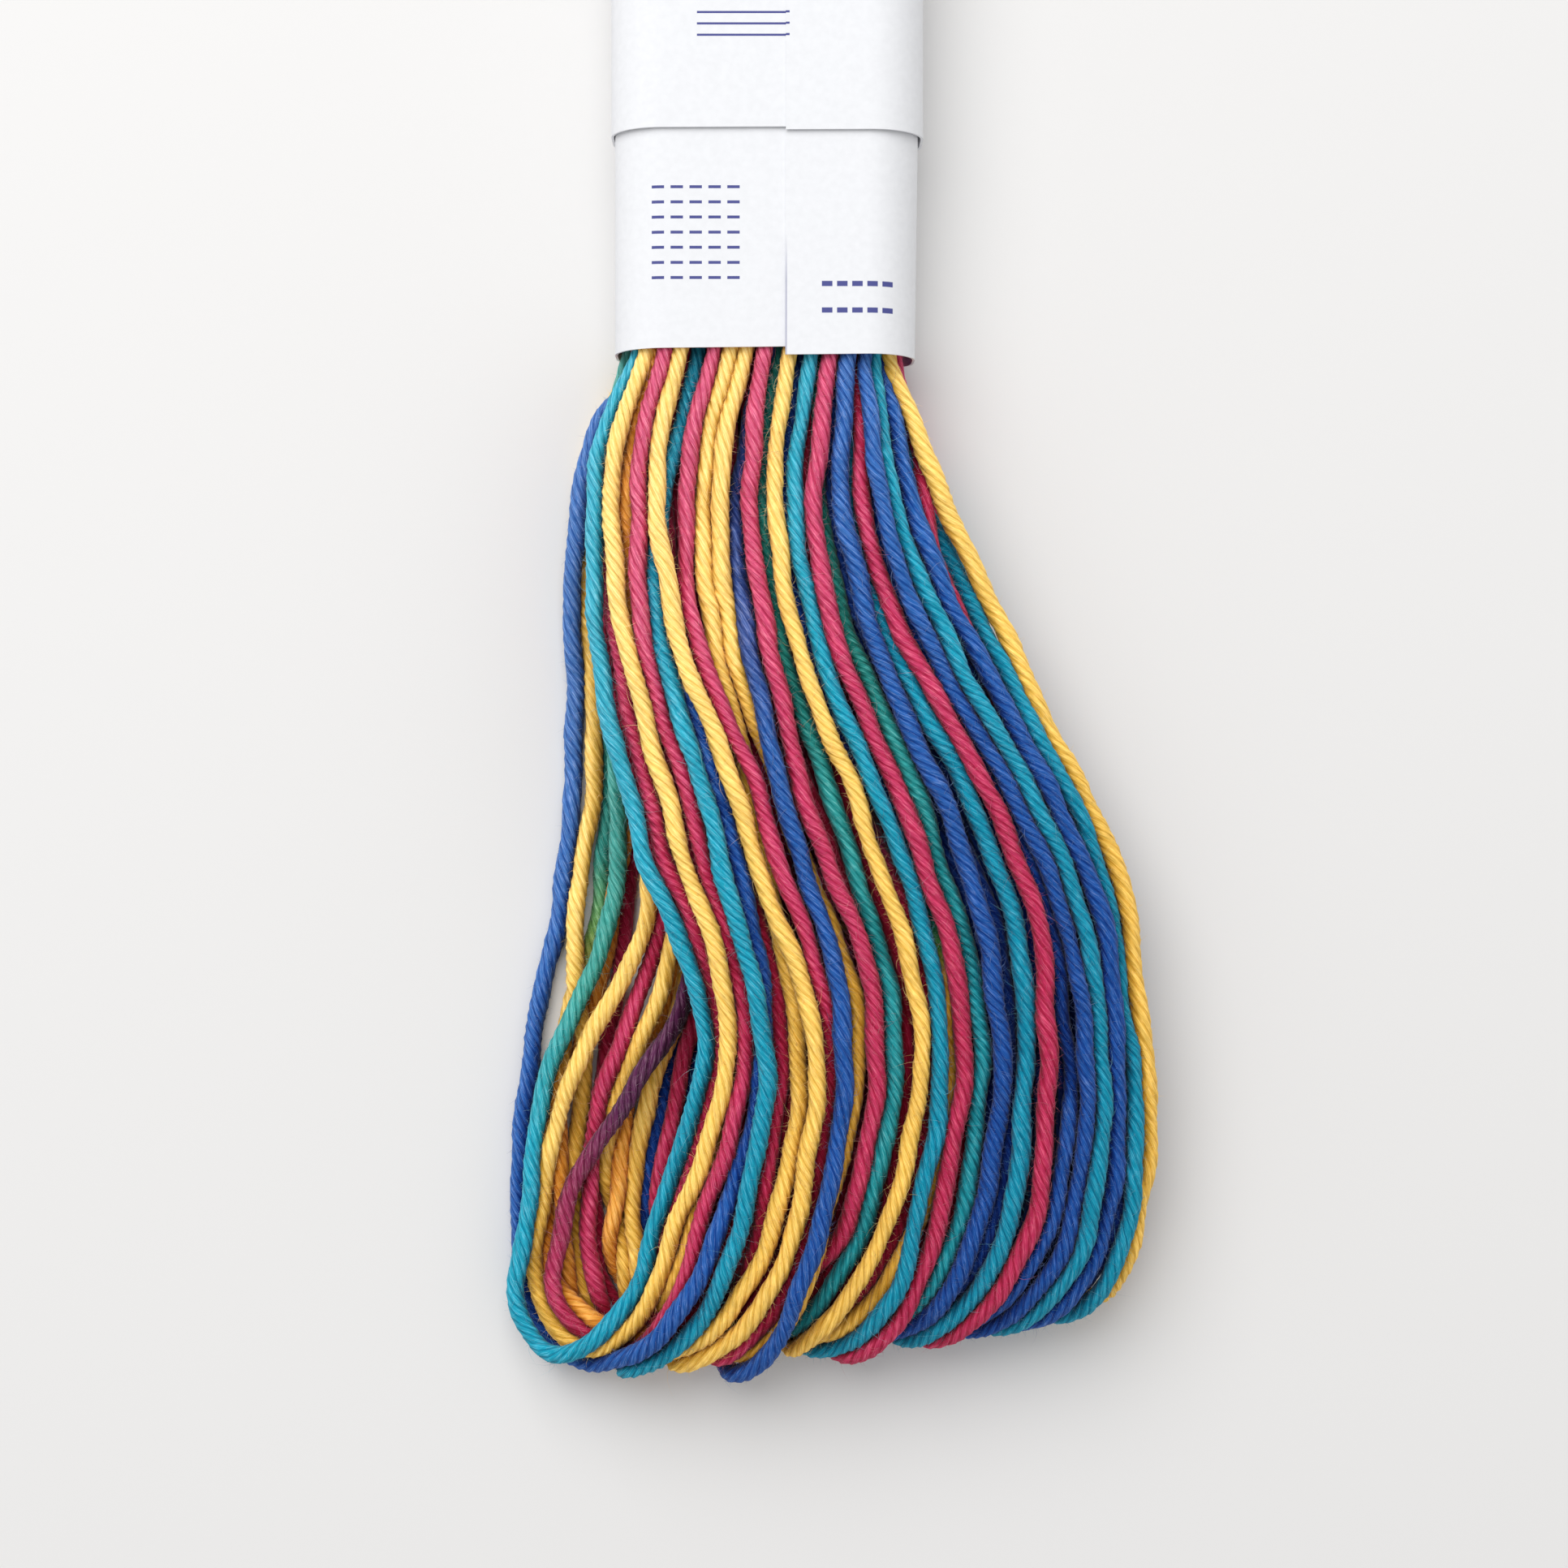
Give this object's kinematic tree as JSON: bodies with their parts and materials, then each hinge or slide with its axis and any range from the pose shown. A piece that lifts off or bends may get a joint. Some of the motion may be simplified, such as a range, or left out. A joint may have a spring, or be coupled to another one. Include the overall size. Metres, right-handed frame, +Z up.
{
  "type": "skein of sashiko thread",
  "caption": "Flat hank of plied cotton thread, fanned out into loops at its ends, with two blank paper wraps around its drawn-in waist.",
  "frame": {"origin": "on the surface that the skein lies on, at the middle of its box", "axes": "+Y along the hank, away from its fanned lower end; +X to the right seen from above; +Z up"},
  "size_m": [0.0352, 0.1498, 0.008],
  "materials": {
    "dyed_cotton": "matte plied cotton, dyed in changing colours: yellow, teal, blue and red",
    "white_paper": "smooth uncoated white paper"
  },
  "bodies": {
    "root": {"thread_hank": "dyed_cotton", "paper_band": "white_paper", "paper_sleeve": "white_paper"}
  },
  "joints": []
}
